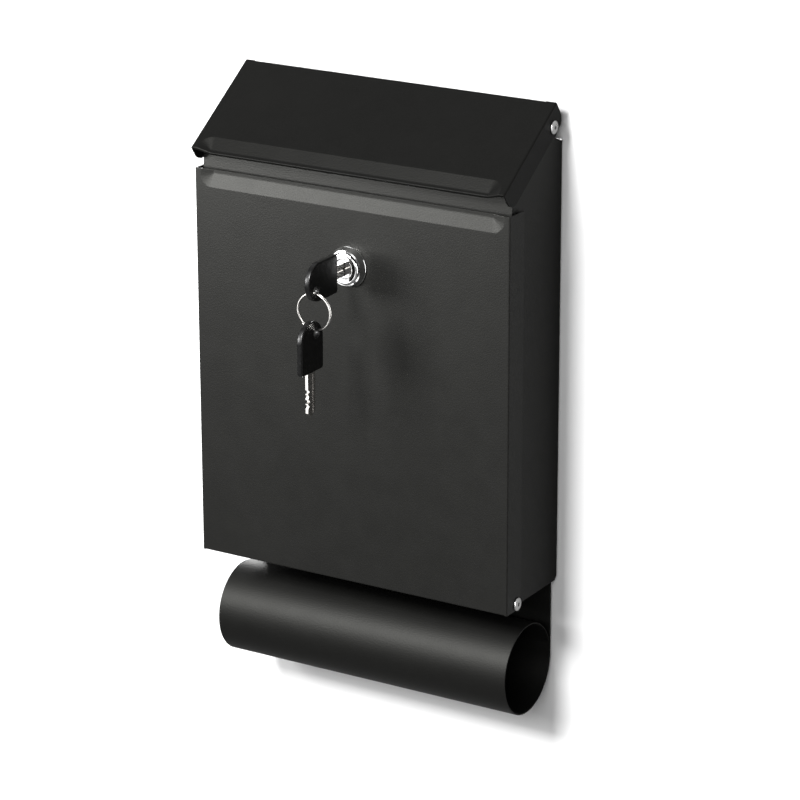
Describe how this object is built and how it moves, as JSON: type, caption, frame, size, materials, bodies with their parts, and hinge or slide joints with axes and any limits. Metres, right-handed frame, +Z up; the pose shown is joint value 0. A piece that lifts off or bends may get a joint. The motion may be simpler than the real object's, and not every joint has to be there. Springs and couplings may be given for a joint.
{
  "type": "wall mounted mailbox",
  "caption": "Wall mounted steel letter box with a sloping hinged lid, a lockable drop-down door, a cam lock with keys on a ring, and an open newspaper tube below.",
  "frame": {"origin": "middle of the back panel's flat rear face, which lies on the wall", "axes": "+X to the right as seen from the front, +Y into the wall, so the front faces -Y, and +Z up"},
  "size_m": [0.218, 0.1203, 0.3739],
  "materials": {
    "body_paint": "fine textured matt black powder coat",
    "lid_paint": "fine textured matt black powder coat",
    "door_paint": "fine textured matt black powder coat",
    "roll_paint": "fine textured matt black powder coat",
    "rivet_aluminium": "plain blind rivet",
    "lock_chrome": "polished chrome plate",
    "lock_zinc": "zinc plated steel",
    "wafer_brass": "plain brass",
    "key_nickel": "nickel plated",
    "key_plastic": "moulded black plastic"
  },
  "bodies": {
    "root": {"body_shell": "body_paint", "bottom_panel": "body_paint", "front_fascia": "body_paint", "newspaper_tube": "roll_paint", "lid_rivet_left": "rivet_aluminium", "lid_rivet_right": "rivet_aluminium", "door_rivet_left": "rivet_aluminium", "door_rivet_right": "rivet_aluminium"},
    "lid": {"lid_panel": "lid_paint"},
    "door": {"door_panel": "door_paint", "lock_housing": "lock_chrome", "lock_washer": "lock_zinc", "lock_nut": "lock_zinc"},
    "lock_core": {"lock_plug": "lock_chrome", "lock_wafer_1": "wafer_brass", "lock_wafer_2": "wafer_brass", "lock_wafer_3": "wafer_brass", "lock_wafer_4": "wafer_brass", "lock_cam": "lock_zinc", "cam_washer": "lock_zinc", "cam_screw": "lock_zinc"},
    "key": {"key_blade": "key_nickel", "key_head": "key_plastic"},
    "ring": {"key_ring": "key_nickel"},
    "spare_key": {"spare_key_blade": "key_nickel", "spare_key_head": "key_plastic"}
  },
  "joints": [
    {"name": "lid_hinge", "type": "hinge", "parent": "root", "child": "lid", "pos_m": [0, -0.01377, 0.1465], "axis": [-1, 0, 0], "range_deg": [0, 60]},
    {"name": "door_hinge", "type": "hinge", "parent": "root", "child": "door", "pos_m": [0, -0.0535, -0.1337], "axis": [1, 0, 0], "range_deg": [0, 95]},
    {"name": "lock_turn", "type": "hinge", "parent": "door", "child": "lock_core", "pos_m": [0, -0.072, 0.0605], "axis": [0, 1, 0], "range_deg": [0, 90]},
    {"name": "key_pull", "type": "slide", "parent": "lock_core", "child": "key", "axis": [0, -1, 0], "range_m": [0, 0.024]},
    {"name": "ring_swing", "type": "hinge", "parent": "key", "child": "ring", "pos_m": [0, -0.1035, 0.0541], "axis": [1, 0, 0], "range_deg": [-60, 20]},
    {"name": "spare_key_round_ring", "type": "hinge", "parent": "ring", "child": "spare_key", "pos_m": [0, -0.1035, 0.0431], "axis": [0, 1, 0], "range_deg": [-90, 0]}
  ],
  "couplings": [
    {"joint": "spare_key_round_ring", "follows": "lock_turn", "ratio": -1}
  ]
}
